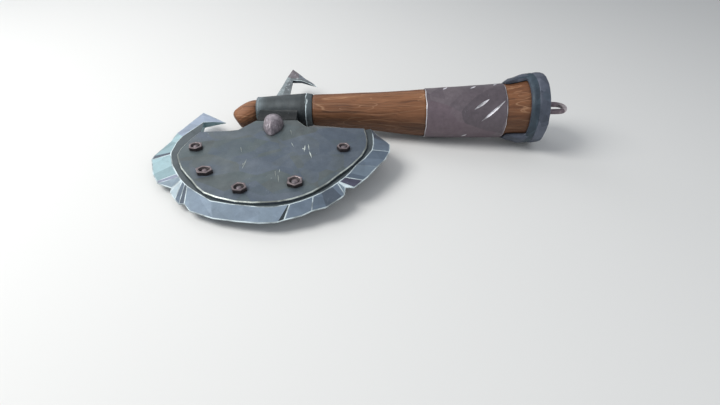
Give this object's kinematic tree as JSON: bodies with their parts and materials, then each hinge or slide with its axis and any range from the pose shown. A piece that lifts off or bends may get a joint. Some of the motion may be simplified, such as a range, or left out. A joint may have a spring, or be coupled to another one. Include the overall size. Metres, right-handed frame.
{
  "type": "battle axe",
  "caption": "Single-bitted battle axe with a laminated crescent head, hooked back spike, tapered wooden haft, iron grip sleeve and capped butt with a lanyard loop.",
  "frame": {"origin": "middle of the pommel cap's cylindrical barrel, on the haft's axis", "axes": "+X along the haft towards the butt and its lanyard loop, -Y towards the cutting edge, +Z square to the blade, out of the upper cheek plate"},
  "size_m": [0.6333, 0.434, 0.113],
  "materials": {
    "haft_wood": "oiled, worn, with carved wavy grain",
    "wedge_iron": "hammered",
    "socket_steel": "forged, dark, with bright worn edges",
    "core_steel": "ground bevel with chipped white edges and a dark flat band",
    "cheek_steel": "forged plate in broad soft patches, with a bright chamfer and fine scratches",
    "bolt_iron": "forged",
    "nut_iron": "forged, brownish, with a dished top",
    "stud_iron": "hammered facets, pale violet grey",
    "spike_steel": "rough ground with pale edges",
    "sleeve_iron": "violet-grey sheet iron with two bright gouges",
    "cap_steel": "dark blue-grey forged",
    "loop_iron": "worn bright wire"
  },
  "bodies": {
    "root": {"haft": "haft_wood", "haft_wedge": "wedge_iron", "eye_socket": "socket_steel", "blade_core": "core_steel", "cheek_plate_upper": "cheek_steel", "cheek_plate_lower": "cheek_steel", "plate_bolt_1": "bolt_iron", "plate_bolt_2": "bolt_iron", "plate_bolt_3": "bolt_iron", "plate_bolt_4": "bolt_iron", "plate_bolt_5": "bolt_iron", "plate_nut_1": "nut_iron", "plate_nut_2": "nut_iron", "plate_nut_3": "nut_iron", "plate_nut_4": "nut_iron", "plate_nut_5": "nut_iron", "socket_stud": "stud_iron", "stud_rove": "bolt_iron", "back_spike": "spike_steel", "grip_sleeve": "sleeve_iron", "pommel_cap": "cap_steel", "lanyard_loop": "loop_iron"}
  },
  "joints": []
}
